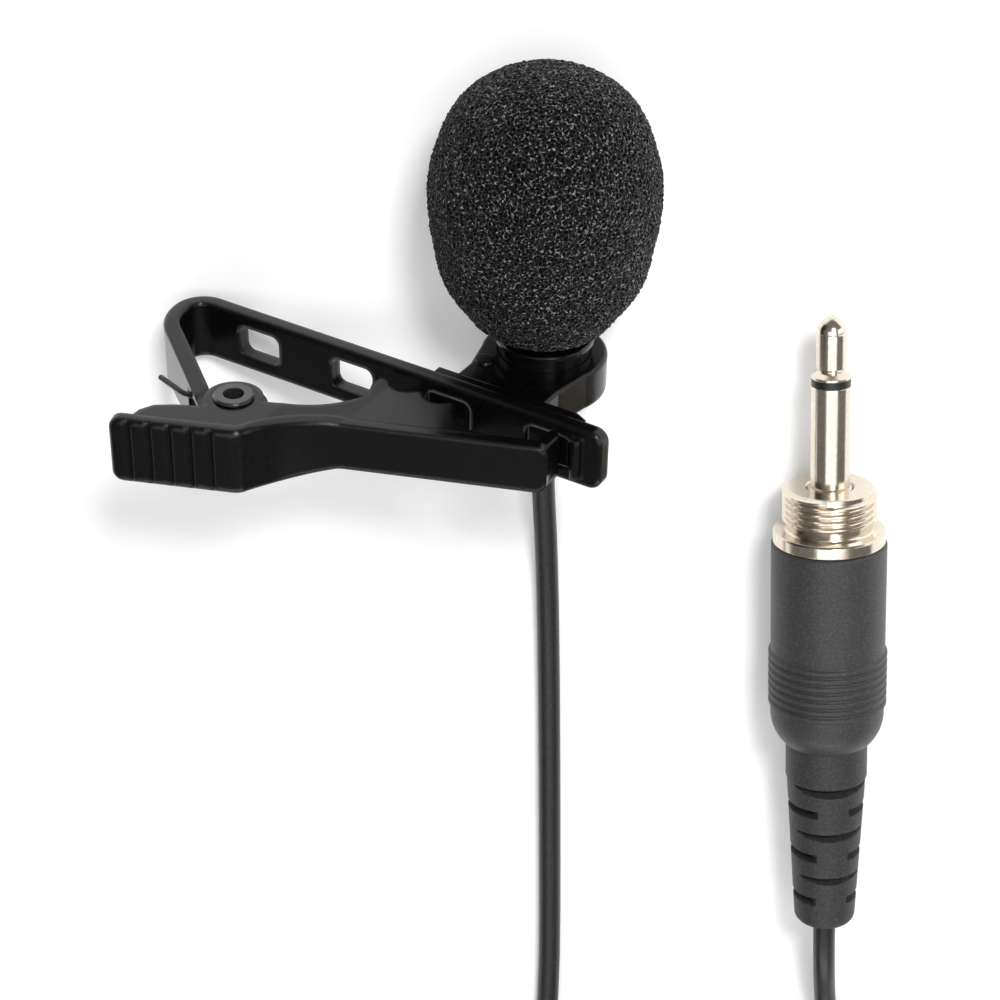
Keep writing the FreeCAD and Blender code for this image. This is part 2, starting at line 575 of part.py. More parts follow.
def make_holder():
    # a ring for the microphone on a neck, with a foot plate held by two tenons in the arm's slots
    body = new_body("mic_holder")
    seat = d.armInside + d.stripThickness
    top = seat + d.footThickness
    left, right = d.axisAlong - d.neckLeft, d.axisAlong + d.neckRight
    waist = d.axisAway - d.neckWaist
    turn = d.neckFlare
    pad(body, "holderRing", circle_sketch(body, "ringOutline", d.ringRadius, d.axisAlong, d.axisAway),
        d.ringHalf)
    pad(body, "holderNeck", loop_sketch(body, "neckOutline", [
        (left - turn, seat), (right + turn, seat), (right + turn, top, turn, -1), (right, top + turn),
        (right, waist), (d.axisAlong + 0.97 * d.ringRadius, d.axisAway - 0.2 * d.ringRadius),
        (d.axisAlong, d.axisAway), (d.axisAlong - 0.97 * d.ringRadius, d.axisAway - 0.2 * d.ringRadius),
        (left, waist), (left, top + turn, turn, -1), (left - turn, top),
    ]), d.ringHalf)
    rounded(body, "holderEdges", d.holderEdge, lambda e: near(abs(middle(e).z), d.ringHalf)
            and middle(e).y > top.value + 0.1)
    pad(body, "holderFoot", loop_sketch(body, "footOutline", [
        (d.axisAlong - d.footLeft, seat), (d.axisAlong + d.footRight, seat),
        (d.axisAlong + d.footRight, top - d.footThickness / 2),
        (d.axisAlong + d.footRight - d.footThickness, top), (d.axisAlong - d.footLeft, top),
    ]), d.footHalf)
    for i in (2, 3):
        x = d.slotStart + i * d.slotPitch
        pad(body, f"tenon{i}", loop_sketch(body, f"tenonSide{i}", [
            (x - d.tenonLength / 2, d.armInside), (x + d.tenonLength / 2, d.armInside),
            (x + d.tenonLength / 2, top - d.footThickness / 2),
            (x - d.tenonLength / 2, top - d.footThickness / 2),
        ]), d.tenonHeight / 2)
    pad(body, "holderBoss", circle_sketch(body, "bossOutline", d.bossRadius, d.axisAlong - d.bossAlong,
                                          d.axisAway - d.bossAway), d.ringHalf + d.bossHeight)
    pocket(body, "micBore", circle_sketch(body, "micBoreOutline", d.bodyRadius + d.holderClearance,
                                          d.axisAlong, d.axisAway))
    return body


def make_plug_tip():
    # the tip contact, in one piece with the rod that runs back through the plug
    waist = d.tipRadius * 0.8
    return revolve("plug_tip", [
        (0, d.rodEnd), (d.rodRadius, d.rodEnd), (d.rodRadius, d.tipFoot), (d.pinRadius, d.tipFoot),
        (d.pinRadius, d.tipFoot + 0.2), (waist, d.tipGroove), (d.tipRadius, d.tipGroove + 0.7),
        (d.tipRadius, d.tipShoulder), (0.35, d.tipEnd - 0.1), (0, d.tipEnd),
    ])


def make_insulator():
    return revolve("plug_insulator", [
        (d.rodRadius, d.coreFront), (d.linerRadius, d.coreFront), (d.linerRadius, d.insulatorFoot),
        (d.pinRadius, d.insulatorFoot), (d.pinRadius, d.tipFoot), (d.rodRadius, d.tipFoot),
    ])


def make_sleeve():
    # the earth tube, with the flange that the locking sleeve is held in front of
    flange = d.coreFront + d.flangeBack
    return revolve("plug_sleeve", [
        (d.linerRadius, d.coreFront), (d.coreRadius, d.coreFront), (d.coreRadius, flange),
        (d.rootRadius, flange), (d.rootRadius, d.rootEnd), (d.pinRadius, d.rootEnd),
        (d.pinRadius, d.insulatorFoot), (d.linerRadius, d.insulatorFoot),
    ])


def make_core():
    # a moulded carrier behind the flange, hollow towards the cord
    return revolve("plug_core", [
        (d.rodRadius, d.coreStep), (d.coreHollow, d.coreStep), (d.coreHollow, d.bootHead),
        (d.coreRadius, d.bootHead), (d.coreRadius, d.coreFront), (d.rodRadius, d.coreFront),
    ])


def make_tags():
    # a solder tag beside the centre rod's end, and one on the carrier's wall
    made = []
    for name, near_side, far_side in (("tip_tag", d.rodRadius, 1.8 * d.rodRadius),
                                      ("earth_tag", 0.8 * d.coreHollow, 0.95 * d.coreHollow)):
        body = new_body(name)
        pad(body, name + "Blade", loop_sketch(body, name + "Side", [
            (near_side, d.bootHead + 0.8), (far_side, d.bootHead + 0.8), (far_side, d.coreStep),
            (near_side, d.coreStep),
        ], "XZ_Plane"), d.rodRadius)
        made.append(body)
    return made


def make_collar():
    # the threaded nose of the locking sleeve, with its turning fit on the earth tube
    bearing = d.rootRadius + d.pinClearance
    chamfer = 2 * d.edgeBreak
    return revolve("threaded_collar", [
        (bearing, 0), (d.noseRadius, 0), (d.noseRadius, d.flangeHeight - d.edgeBreak),
        (d.noseRadius - d.edgeBreak, d.flangeHeight), (d.undercut, d.flangeHeight),
        (d.undercut, d.threadStart), (d.threadRadius - chamfer, d.threadStart),
        (d.threadRadius, d.threadStart + chamfer), (d.threadRadius, d.threadEnd - chamfer),
        (d.threadRadius - chamfer, d.threadEnd), (bearing, d.threadEnd),
    ])


def make_barrel():
    # a smooth tube, seven grip rings, and a rounded chin that closes round the relief's neck
    bore = d.barrelRadius - d.barrelWall
    mouth = d.neckRadius + d.bootClearance
    end = -d.barrelLength
    corners = [(bore, 0), (bore, end + d.chinThickness), (mouth, end + d.chinThickness), (mouth, end),
               (d.chinTail, end, d.chinRadius, 1), (d.barrelRadius, end + d.chinRise)]
    for i in range(BARREL_RINGS - 1, -1, -1):
        foot = -d.ringsStart - (i + 1) * d.ringsPitch
        corners += [(d.barrelRadius, foot + 0.2 * d.ringsPitch),
                    (d.barrelRadius + d.ringsRise, foot + 0.4 * d.ringsPitch),
                    (d.barrelRadius + d.ringsRise, foot + 0.8 * d.ringsPitch),
                    (d.barrelRadius, foot + d.ringsPitch)]
    corners += [(d.barrelRadius, -d.edgeBreak), (d.barrelRadius - d.edgeBreak, 0)]
    return revolve("barrel_sleeve", corners)


def make_spacer():
    # a ring pressed into the barrel behind the collar, which turns round the carrier's flange
    bore = d.barrelRadius - d.barrelWall
    inner = d.coreRadius + d.pinClearance
    return revolve("retaining_ring", [
        (inner, -d.spacerLength), (bore, -d.spacerLength), (bore, 0), (inner, 0),
    ])


def make_boot():
    # a soft relief: a head held in the barrel, a neck, and a taper with cuts in turn on its four sides
    bore = d.cordRadius + d.boreClearance
    neck = -d.barrelLength - d.bootNeck
    inner = -d.barrelLength + d.chinThickness + d.bootClearance
    body = revolve("strain_relief_boot", [
        (0, d.leadSeat), (bore, d.leadSeat), (bore, d.bootEnd),
        (d.bootTail - d.bootRound, d.bootEnd, d.bootRound, 1), (d.bootTail, d.bootEnd + d.bootRound),
        (d.bootShoulder, neck), (d.neckRadius, neck), (d.neckRadius, inner), (d.bootHeadRadius, inner),
        (d.bootHeadRadius, d.bootHead), (0, d.bootHead),
    ])
    # wedge cuts above and below, square slots on the sides, all down to a thin wall round the cord
    far = 2 * d.bootTail
    wedges = new_sketch(body, "bootTopCutSides", "YZ_Plane")
    slots = new_sketch(body, "bootSideCutSides", "XZ_Plane")
    for i in range(BOOT_CUTS):
        wedge = neck - d.topCutStart - i * d.bootPitch
        slot = neck - d.sideCutStart - i * d.bootPitch
        for side in (-1, 1):
            add_loop(wedges, [
                (side * d.cutFloor, wedge - 0.2 * d.bootSlot),
                (side * far, wedge - d.cutSlope * far / d.bootShoulder), (side * far, wedge + d.cutLead),
                (side * d.cutFloor, wedge),
            ])
            add_loop(slots, [
                (side * d.cutFloor, slot - d.bootSlot), (side * far, slot - d.bootSlot), (side * far, slot),
                (side * d.cutFloor, slot),
            ])
    pocket(body, "bootTopCuts", wedges)
    pocket(body, "bootSideCuts", slots)
    return body


def tube(path, radius, sides=0):
    # a section carried along a path, starting square to it: round, or a many-sided one for wound pieces
    first = path.Edges[0]
    start, way = first.valueAt(first.FirstParameter), first.tangentAt(first.FirstParameter)
    section = Part.Wire([Part.Edge(Part.Circle(start, way, radius))])
    if sides:
        across = Vector(0, 0, 1).cross(way).normalize()
        up = way.cross(across)
        angles = [2 * math.pi * (i + 0.5) / sides for i in range(sides)]
        corners = [start + across * (radius * math.cos(a)) + up * (radius * math.sin(a)) for a in angles]
        section = Part.makePolygon(corners + corners[:1])
    shell = Part.BRepOffsetAPI.MakePipeShell(path)
    shell.add(section)
    shell.build()
    shell.makeSolid()
    return shell.shape()


def bent_path(points, name, limit=1e6):
    # straight runs joined by arcs as large as the shorter run at each bend allows
    edges = []
    radii = []
    here = points[0]
    for before, corner, after in zip(points, points[1:], points[2:]):
        way_in, way_out = (corner - before).normalize(), (after - corner).normalize()
        turn = way_in.getAngle(way_out)
        shorter = min((corner - before).Length, (after - corner).Length)
        radius = min(0.45 * shorter / math.tan(turn / 2), limit)
        trim = radius * math.tan(turn / 2)
        first, last = corner - way_in * trim, corner + way_out * trim
        lean = (way_out - way_in).normalize()
        bulge = corner + lean * (radius / math.cos(turn / 2) - radius)
        edges += [Part.LineSegment(here, first).toShape(), Part.Arc(first, bulge, last).toShape()]
        radii.append(round(radius, 1))
        here = last
    edges.append(Part.LineSegment(here, points[-1]).toShape())
    print(name, "bend radii", radii)
    return Part.Wire(edges)


def biarc(start, start_way, end, end_way):
    # two arcs from one point to another that leave and arrive along the given ways
    chord = end - start
    lean = chord.dot(start_way + end_way)
    spread = 2 * (1 - start_way.dot(end_way))
    if spread < 1e-9:
        reach = chord.dot(chord) / (4 * chord.dot(end_way))
    else:
        reach = (math.sqrt(lean * lean + spread * chord.dot(chord)) - lean) / spread
    first, last = start + start_way * reach, end - end_way * reach
    mid = (first + last) * 0.5
    edges = []
    for near_end, corner, far_end in ((start, first, mid), (mid, last, end)):
        half = (near_end + far_end) * 0.5
        turn = (corner - near_end).getAngle(far_end - near_end)
        if turn < 1e-5:
            edges.append(Part.LineSegment(near_end, far_end).toShape())
            continue
        lift = (far_end - near_end).Length / 2 * math.tan(turn / 2)
        edges.append(Part.Arc(near_end, half + (corner - half).normalize() * lift, far_end).toShape())
    return edges


def least_gap(path, radius, apart):
    # the least clear distance between stretches of a tube that are some way apart along it
    points = path.discretize(Distance=min(0.35, radius))
    places = [0.0]
    for first, last in zip(points, points[1:]):
        places.append(places[-1] + (last - first).Length)
    cells = {}
    size = 2 * radius + 1.5
    least = size
    for i, point in enumerate(points):
        cell = (math.floor(point.x / size), math.floor(point.y / size), math.floor(point.z / size))
        for dx in (-1, 0, 1):
            for dy in (-1, 0, 1):
                for dz in (-1, 0, 1):
                    for j in cells.get((cell[0] + dx, cell[1] + dy, cell[2] + dz), []):
                        if places[i] - places[j] > apart:
                            least = min(least, (points[j] - point).Length)
        cells.setdefault(cell, []).append(i)
    return least - 2 * radius


def coil_base():
    return d.tieThickness.value + d.tieGap.value + d.cordRadius.value


def coil_point(turns):
    # radius in, out, in, out, and a layer up in the half turn round each reversal
    per_layer, pitch = d.layerTurns.value, d.coilPitch.value
    layer = min(int(turns / per_layer), COIL_LAYERS - 1)
    within = turns - layer * per_layer
    depth = within if layer % 2 == 0 else per_layer - within
    height = layer * pitch
    for change in range(1, COIL_LAYERS):
        lead = turns - change * per_layer
        if -0.25 < lead < 0.25:
            height = (change - 0.5 + 2 * lead) * pitch
    radius = d.coilRadius.value - depth * pitch
    angle = math.pi + 2 * math.pi * turns
    return Vector(d.coilAlong.value + radius * math.cos(angle), d.coilBack.value + radius * math.sin(angle),
                  coil_base() + height)


def coil_path():
    per_layer, total = d.layerTurns.value, d.layerTurns.value * COIL_LAYERS
    marks = [0.0]
    for change in range(1, COIL_LAYERS + 1):
        goal = total if change == COIL_LAYERS else change * per_layer - 0.25
        first = marks[-1]
        count = math.ceil((goal - first) / 0.5 - 1e-6)
        marks += [first + (goal - first) * (i + 1) / count for i in range(count)]
        if change < COIL_LAYERS:
            marks += [goal + 0.125, goal + 0.25, goal + 0.375, goal + 0.5]
    points = [coil_point(mark) for mark in marks]
    ways = []
    step = 1e-4
    for mark in marks:
        way = coil_point(min(mark + step, total)) - coil_point(max(mark - step, 0.0))
        if abs(mark - round(mark / per_layer) * per_layer) > 0.2:
            way.z = 0
        ways.append(way.normalize())
    ways[0], ways[-1] = Vector(0, -1, 0), Vector(0, 1, 0)
    lead = Vector(0, 2 * d.cordRadius.value, 0)
    edges = [Part.LineSegment(points[0] + lead, points[0]).toShape()]
    for i in range(len(points) - 1):
        edges += biarc(points[i], ways[i], points[i + 1], ways[i + 1])
    edges.append(Part.LineSegment(points[-1], points[-1] + lead).toShape())
    return Part.Wire(edges)


def spring_path():
    # one end hooks outside the arm's leg, the turns run round the rivet, the other end bears on the web
    radius, pitch = d.springRadius.value, d.springPitch.value
    leg = math.radians(d.legAngle.value)
    outside = (d.rivetRadius + d.pinClearance * 2 + d.stripThickness + d.wireRadius).value
    along, out = Vector(-math.cos(leg), math.sin(leg), 0), Vector(-math.sin(leg), -math.cos(leg), 0)
    bend = along * d.hookAlong.value + out * outside
    free = along * d.hookEnd.value + out * (outside + d.hookLift.value)
    heel = Vector(d.springHeelAlong.value, -d.springHeelDrop.value, 0)
    tail = Vector(d.springTailAlong.value, -d.springTailDrop.value, 0)
    first = math.atan2(bend.y, bend.x) % (2 * math.pi) - math.acos(radius / bend.Length)
    last = math.atan2(heel.y, heel.x) + math.acos(radius / heel.Length)
    sweep = first - last + 4 * math.pi
    rise = pitch * sweep / (2 * math.pi)
    count = math.ceil(sweep / (math.pi / 2))
    points, ways = [], []
    for i in range(count + 1):
        angle = first - sweep * i / count
        points.append(Vector(radius * math.cos(angle), radius * math.sin(angle), rise / 2 - rise * i / count))
        slope = 0 if i in (0, count) else -pitch / (2 * math.pi * radius)
        ways.append(Vector(math.sin(angle), -math.cos(angle), slope).normalize())
    high, low = Vector(0, 0, rise / 2), Vector(0, 0, -rise / 2)
    entry = bent_path([free + high, bend + high, points[0]], "spring hook", d.hookBend.value)
    leaving = bent_path([points[-1], heel + low, tail + low], "spring foot", d.hookBend.value)
    edges = list(entry.Edges)
    for i in range(count):
        edges += biarc(points[i], ways[i], points[i + 1], ways[i + 1])
    return Part.Wire(edges + list(leaving.Edges))


def plain(name, shape, placement):
    feature = doc.addObject("Part::Feature", name)
    feature.Label = name
    feature.Shape = shape
    feature.Placement = placement
    return feature


def compare_volume(name, solid, path, radius, sides=0):
    area = sides / 2 * math.sin(2 * math.pi / sides) if sides else math.pi
    wanted = area * radius * radius * path.Length
    print(name, "length", round(path.Length, 1), "volume over section times length",
          round(solid.Volume / wanted, 4))


def make_tie(path):
    # a band round the bundle, on the side of the coil away from the microphone
    low, high = 1e9, -1e9
    reach = d.tieWidth.value / 2
    for point in path.discretize(Distance=0.2):
        if abs(point.x - d.coilAlong.value) < reach and point.y < d.coilBack.value:
            low, high = min(low, point.y), max(high, point.y)
    room = d.cordRadius.value + d.tieGap.value
    wall = d.tieThickness.value
    tall = coil_base() + (COIL_LAYERS - 1) * d.coilPitch.value + room
    solids = []
    for grow, bottom, top in ((wall, 0.0, tall + wall), (0.0, wall, tall)):
        box = Part.makeBox(2 * reach, high - low + 2 * (room + grow), top - bottom,
                           Vector(d.coilAlong.value - reach, low - room - grow, bottom))
        edges = [e for e in box.Edges if near(e.BoundBox.XLength, 2 * reach, 1e-3)]
        solids.append(box.makeFillet(d.cordRadius.value * 0.8 + grow, edges))
    return solids[0].cut(solids[1])


lay = Placement(Vector(d.layAlong.value, d.layAcross.value, 0), Rotation())
mic_turn = Rotation(Vector(0, 0, 1), d.micYaw.value).multiply(Rotation(Vector(1, 0, 0), d.micRaise.value - 90))
mic_place = Placement(Vector(d.micAlong.value, d.micAcross.value, d.micHeight.value), mic_turn)
roll = Rotation(Vector(0, 0, 1), -d.clipRoll.value)
to_pivot = Placement(roll.multVec(Vector(-d.axisAlong.value, -d.axisAway.value, 0)), roll)
clip_place = mic_place.multiply(to_pivot)
plug_place = Placement(Vector(d.plugAlong.value, d.plugFace.value, d.plugHeight.value),
                       Rotation(Vector(1, 0, 0), -90))
boot_place = plug_place.multiply(Placement(Vector(), Rotation(Vector(0, 0, 1), d.bootTurn.value)))
nodes = {}


def put(bodies, placement):
    for body in bodies:
        body.Placement = lay.multiply(placement)
        nodes[body.Label] = body


put([make_windscreen(), make_housing(), make_grille(), make_bushing()] + make_capsule_stack(), mic_place)
put([make_holder(), make_arm(), make_jaw(), make_rivet()], clip_place)
put([make_plug_tip(), make_insulator(), make_sleeve(), make_core(), make_collar(), make_barrel(),
     make_spacer()] + make_tags(), plug_place)
put([make_boot()], boot_place)
doc.recompute()

spring = spring_path()
spring_solid = tube(spring, d.wireRadius.value, WIRE_SIDES)
compare_volume("jaw_spring", spring_solid, spring, d.wireRadius.value, WIRE_SIDES)
print("jaw_spring least gap to itself", round(least_gap(spring, d.wireRadius.value, 4.0), 2))
nodes["jaw_spring"] = plain("jaw_spring", spring_solid, lay.multiply(clip_place))

cord = d.cordRadius.value
coil = coil_path()
start, finish = coil.Vertexes[0].Point, coil.Vertexes[-1].Point
mic_run = bent_path([
    mic_place.multVec(Vector(0, 0, d.leadStop.value)), mic_place.multVec(Vector(0, 0, d.bushingEnd.value - 1.4)),
    Vector(3.98, -8.2, 1.05), Vector(3.55, -31.0, 1.05), Vector(2.8, -58.0, 1.05),
    Vector(start.x, -69.5, start.z), start,
], "cord_mic_run")
plug_run = bent_path([
    plug_place.multVec(Vector(0, 0, d.leadSeat.value)), Vector(d.plugAlong.value, -47.6, d.plugHeight.value),
    Vector(30.0, -55.2, 1.45), Vector(31.0, -63.5, 4.2), Vector(finish.x, -71.8, finish.z), finish,
], "cord_plug_run")
for name, path, sides in (("cord_mic_run", mic_run, 0), ("cord_coil", coil, COIL_SIDES),
                          ("cord_plug_run", plug_run, 0)):
    solid = tube(path, cord, sides)
    compare_volume(name, solid, path, cord, sides)
    nodes[name] = plain(name, solid, lay)
print("cord_coil least gap to itself", round(least_gap(coil, cord, 8.0), 2))
nodes["cord_tie"] = plain("cord_tie", make_tie(coil), lay)
doc.recompute()

for item in doc.Objects:
    if "Invalid" in item.State or "Error" in item.State:
        raise RuntimeError(f"{item.Name} failed: {item.State}")
for name, item in nodes.items():
    shape = item.Shape
    if shape.isNull() or not shape.isValid() or len(shape.Solids) != 1:
        raise RuntimeError(f"{name} is not one sound solid: {len(shape.Solids)}")

os.makedirs("parts", exist_ok=True)
for name, item in nodes.items():
    item.Shape.exportStep(f"parts/{name}.step")
    print(name, round(item.Shape.Volume, 2), item.Shape.BoundBox)
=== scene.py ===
import math

import bpy
from mathutils import Matrix, Vector


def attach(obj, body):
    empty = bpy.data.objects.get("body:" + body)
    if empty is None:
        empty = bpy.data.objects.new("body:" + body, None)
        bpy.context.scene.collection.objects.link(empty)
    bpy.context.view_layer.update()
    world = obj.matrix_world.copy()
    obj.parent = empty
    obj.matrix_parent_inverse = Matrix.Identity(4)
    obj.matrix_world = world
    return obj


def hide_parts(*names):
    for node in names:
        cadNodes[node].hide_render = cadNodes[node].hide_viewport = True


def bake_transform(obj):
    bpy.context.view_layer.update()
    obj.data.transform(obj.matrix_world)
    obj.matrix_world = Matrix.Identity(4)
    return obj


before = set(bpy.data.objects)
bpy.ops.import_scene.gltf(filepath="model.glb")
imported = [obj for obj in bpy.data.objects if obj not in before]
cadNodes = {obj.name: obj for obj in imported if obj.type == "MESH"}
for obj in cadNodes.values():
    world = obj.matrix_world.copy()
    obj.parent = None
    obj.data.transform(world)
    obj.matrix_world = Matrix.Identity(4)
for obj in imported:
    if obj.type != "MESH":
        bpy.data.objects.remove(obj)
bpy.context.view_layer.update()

mm = 0.001
bpy.ops.object.select_all(action="DESELECT")
print("frame loaded:", len(cadNodes), "nodes")

# where the three groups of pieces lie on the table, in millimetres and degrees
placing = {
    "lay": (8.117, -22.389, 0.0),  # puts the clip and foam over the origin
    "microphone": (4.32, 12.77, 6.07),
    "microphoneYaw": -3.44,
    "microphoneRaise": 14.0,
    "clipRoll": 29.0,
    "axisFromPivot": (17.13, 22.11, 0.0),
    "plugFace": (29.47, -4.4, 5.4),
}


def onTable(x, y, z):
    return (Vector((x, y, z)) + Vector(placing["lay"])) * mm


def turnMatrix(degrees, axis):
    return Matrix.Rotation(math.radians(degrees), 4, axis)


def selectOnly(*pieces):
    # the last one becomes the active one
    bpy.ops.object.select_all(action="DESELECT")
    for piece in pieces:
        piece.select_set(True)
    bpy.context.view_layer.objects.active = pieces[-1]


micPlace = (Matrix.Translation(onTable(*placing["microphone"])) @ turnMatrix(placing["microphoneYaw"], "Z")
            @ turnMatrix(placing["microphoneRaise"] - 90, "X"))
clipPlace = (micPlace @ turnMatrix(-placing["clipRoll"], "Z")
             @ Matrix.Translation(-Vector(placing["axisFromPivot"]) * mm))
plugPlace = Matrix.Translation(onTable(*placing["plugFace"])) @ turnMatrix(-90, "X")


# camera, at the photograph's place, in millimetres and degrees
cameraView = {
    "target": (0.0, 0.0, 5.15),
    "tilt": 20.3,
    "turn": 3.0,
    "roll": -2.1,
    "distance": 221.0,
    "fieldOfView": 23.0,
    "nearest": 5.0,
}


def addCamera():
    tilt, turn, roll = (math.radians(cameraView[word]) for word in ("tilt", "turn", "roll"))
    back = Vector((math.sin(turn) * math.cos(tilt), math.sin(tilt), math.cos(turn) * math.cos(tilt)))
    level = Vector((0, 1, 0)).cross(back).normalized()
    upright = back.cross(level)
    right = level * math.cos(roll) + upright * math.sin(roll)
    up = upright * math.cos(roll) - level * math.sin(roll)
    place = onTable(*cameraView["target"]) + back * cameraView["distance"] * mm
    bpy.ops.object.camera_add(location=place)
    camera = bpy.context.object
    camera.name = "photoCamera"
    camera.rotation_euler = Matrix((right, up, back)).transposed().to_euler()
    camera.data.sensor_fit = "HORIZONTAL"
    camera.data.angle = math.radians(cameraView["fieldOfView"])
    camera.data.clip_start = cameraView["nearest"] * mm
    bpy.context.scene.camera = camera


addCamera()
print("camera placed")


# cord: from the microphone over the table, wound into a tied coil past the view, and up to the plug
cordPlan = {
    "diameter": 2.1,
    "length": 1165.0,
    "insideMicrophone": (-1.2, -9.4),
    "fromMicrophone": [(3.98, -8.2, 1.05), (3.55, -31.0, 1.05), (2.8, -58.0, 1.05), (0.1, -69.5, 1.8)],
    "coilCentre": (16.5, -80.0, 1.8),
    "coilRadius": 16.4,
    "turnPitch": 2.58,
    "turnsInLayer": 3.375,
    "layers": 4,
    "liftTurns": 0.5,  # how much of a turn it takes to climb to the next layer
    "pointsInTurn": 16,
    "aroundSteps": 4,
    "alongSteps": 5,
    "toPlug": [(32.9, -71.8, 9.54), (31.0, -63.5, 4.2), (30.0, -55.2, 1.45), (29.47, -47.6, 5.4),
               (29.47, -40.0, 5.4), (29.47, -30.4, 5.4)],
}


def coilPoint(turns):
    # inwards, a layer up and outwards again, in and out twice
    perLayer = cordPlan["turnsInLayer"]
    layer = min(int(turns / perLayer), cordPlan["layers"] - 1)
    within = turns - layer * perLayer
    depth = within if layer % 2 == 0 else perLayer - within
    level = layer
    for change in range(1, cordPlan["layers"]):
        lead = turns - change * perLayer
        if abs(lead) < cordPlan["liftTurns"] / 2:
            level = change - 0.5 + lead / cordPlan["liftTurns"]
    halfStep = math.pi / cordPlan["pointsInTurn"]
    outside = 2 / (1 + math.cos(halfStep) ** 2)  # makes up for the spline's cut inside its points
    radius = (cordPlan["coilRadius"] - depth * cordPlan["turnPitch"]) * outside
    angle = math.pi + 2 * math.pi * turns
    around = Vector((radius * math.cos(angle), radius * math.sin(angle), level * cordPlan["turnPitch"]))
    return Vector(cordPlan["coilCentre"]) + around


def smoothTube(name, points, diameter, plan):
    # a quadratic NURBS line with a round section
    curve = bpy.data.curves.new(name, "CURVE")
    curve.dimensions = "3D"
    spline = curve.splines.new("NURBS")
    spline.points.add(len(points) - 1)
    for controlPoint, place in zip(spline.points, points):
        controlPoint.co = (*place, 1)
    spline.order_u = 3
    spline.use_endpoint_u = True
    curve.resolution_u = plan["alongSteps"]
    curve.bevel_depth = diameter / 2
    curve.bevel_resolution = plan["aroundSteps"]
    curve.use_fill_caps = True
    piece = bpy.data.objects.new(name, curve)
    bpy.context.collection.objects.link(piece)
    return piece


def makeMesh(piece):
    selectOnly(piece)
    bpy.ops.object.convert(target="MESH")
    return bpy.context.object


def makeCord():
    # the tube, and the line along its middle
    points = [micPlace @ Vector((0, 0, along * mm)) for along in cordPlan["insideMicrophone"]]
    points += [onTable(*place) for place in cordPlan["fromMicrophone"]]
    turns = cordPlan["turnsInLayer"] * cordPlan["layers"]
    count = round(turns * cordPlan["pointsInTurn"])
    points += [onTable(*coilPoint(turns * i / count)) for i in range(count + 1)]
    points += [onTable(*place) for place in cordPlan["toPlug"]]
    line = makeMesh(smoothTube("cordLine", points, 0, cordPlan))
    path = [tuple(vertex.co) for vertex in line.data.vertices]
    bpy.data.objects.remove(line)
    return makeMesh(smoothTube("microphoneCord", points, cordPlan["diameter"] * mm, cordPlan)), path


def declareCord(cord, plugPieces):
    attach(cord, "microphone")
    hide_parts("cord_mic_run", "cord_coil", "cord_plug_run")


microphoneCord, cordLine = makeCord()
print("cord laid:", len(cordLine), "points")


# effects that the materials share

def newGroup(name, inputs, outputs):
    group = bpy.data.node_groups.new(name, "ShaderNodeTree")
    for label, kind, value in inputs:
        socket = group.interface.new_socket(name=label, in_out="INPUT", socket_type=kind)
        socket.default_value = value
    for label, kind in outputs:
        group.interface.new_socket(name=label, in_out="OUTPUT", socket_type=kind)
    return group, group.nodes.new("NodeGroupInput"), group.nodes.new("NodeGroupOutput")


def addNode(tree, kind, settings=None, **values):
    node = tree.nodes.new(kind)
    for word, value in (settings or {}).items():
        setattr(node, word, value)
    for label, value in values.items():
        node.inputs[label.replace("_", " ")].default_value = value
    return node


mixPlaces = {"FLOAT": (2, 3, 0), "RGBA": (6, 7, 2)}  # a Mix node's low and high inputs and its output


def mix(tree, kind, factor, low, high):
    node = addNode(tree, "ShaderNodeMix", {"data_type": kind})
    lowPlace, highPlace, result = mixPlaces[kind]
    for given, place in ((factor, 0), (low, lowPlace), (high, highPlace)):
        tree.links.new(given, node.inputs[place])
    return node.outputs[result]


def multiply(tree, first, second):
    # each of the two is a socket or a number
    node = addNode(tree, "ShaderNodeMath", {"operation": "MULTIPLY"})
    for given, socket in zip((first, second), node.inputs):
        if isinstance(given, float):
            socket.default_value = given
        else:
            tree.links.new(given, socket)
    return node.outputs[0]


def smoothStep(tree, value, low, high):
    # 0 at the low value and 1 at the high one
    node = addNode(tree, "ShaderNodeMapRange", {"interpolation_type": "SMOOTHSTEP"}, From_Min=low,
                   From_Max=high)
    tree.links.new(value, node.inputs["Value"])
    return node.outputs["Result"]


grainPattern = {
    "grainDetail": 3.0,
    "grainRoughness": 0.6,
    "cloudDetail": 2.0,
    "cloudRoughness": 0.5,
    "speck": (0.45, 0.7),  # noise values where the grain colour starts and where it is full
}


